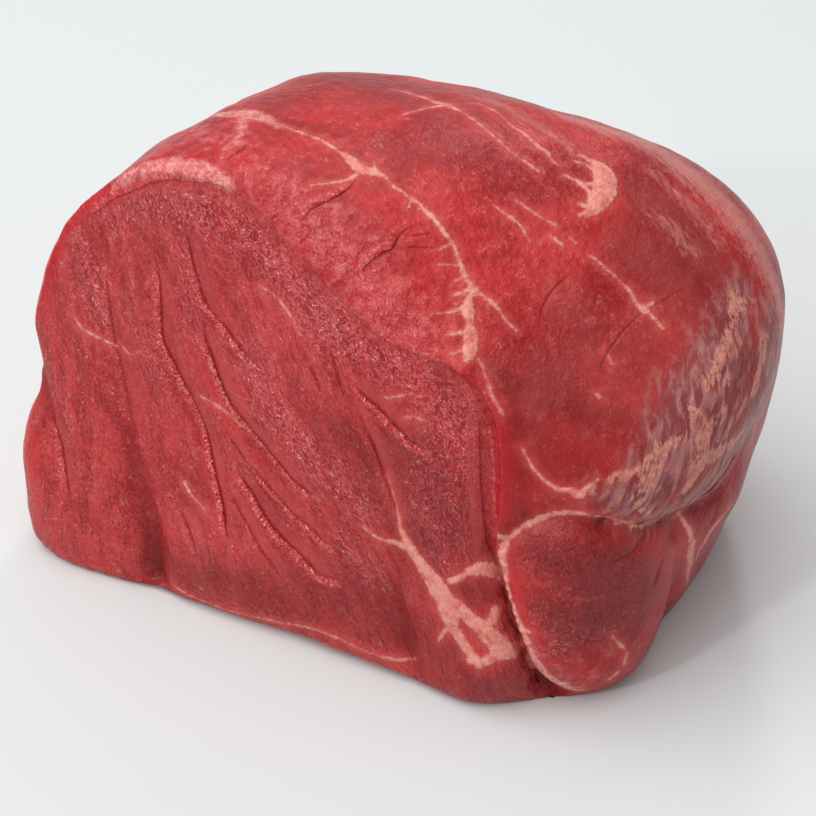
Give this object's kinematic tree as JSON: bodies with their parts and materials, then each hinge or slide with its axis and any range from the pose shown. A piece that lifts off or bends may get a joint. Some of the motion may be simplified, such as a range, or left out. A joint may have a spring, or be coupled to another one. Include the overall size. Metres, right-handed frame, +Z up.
{
  "type": "raw beef roasting joint",
  "caption": "Raw boneless beef joint with a flat cut face across the grain at the front, a rounded top with fine fat seams and a flat underside to rest on.",
  "frame": {"origin": "centre of the bounding box at its bottom, on the surface the joint rests on", "axes": "+X along the joint's length, the big cut face looks towards -Y, +Z up"},
  "size_m": [0.19, 0.138, 0.122],
  "materials": {
    "raw_beef": "moist raw beef: deep red muscle with fine grain, pale pink fat seams and thin silvery membrane, satin with small wet glints"
  },
  "bodies": {
    "root": {"beef_joint": "raw_beef"}
  },
  "joints": []
}
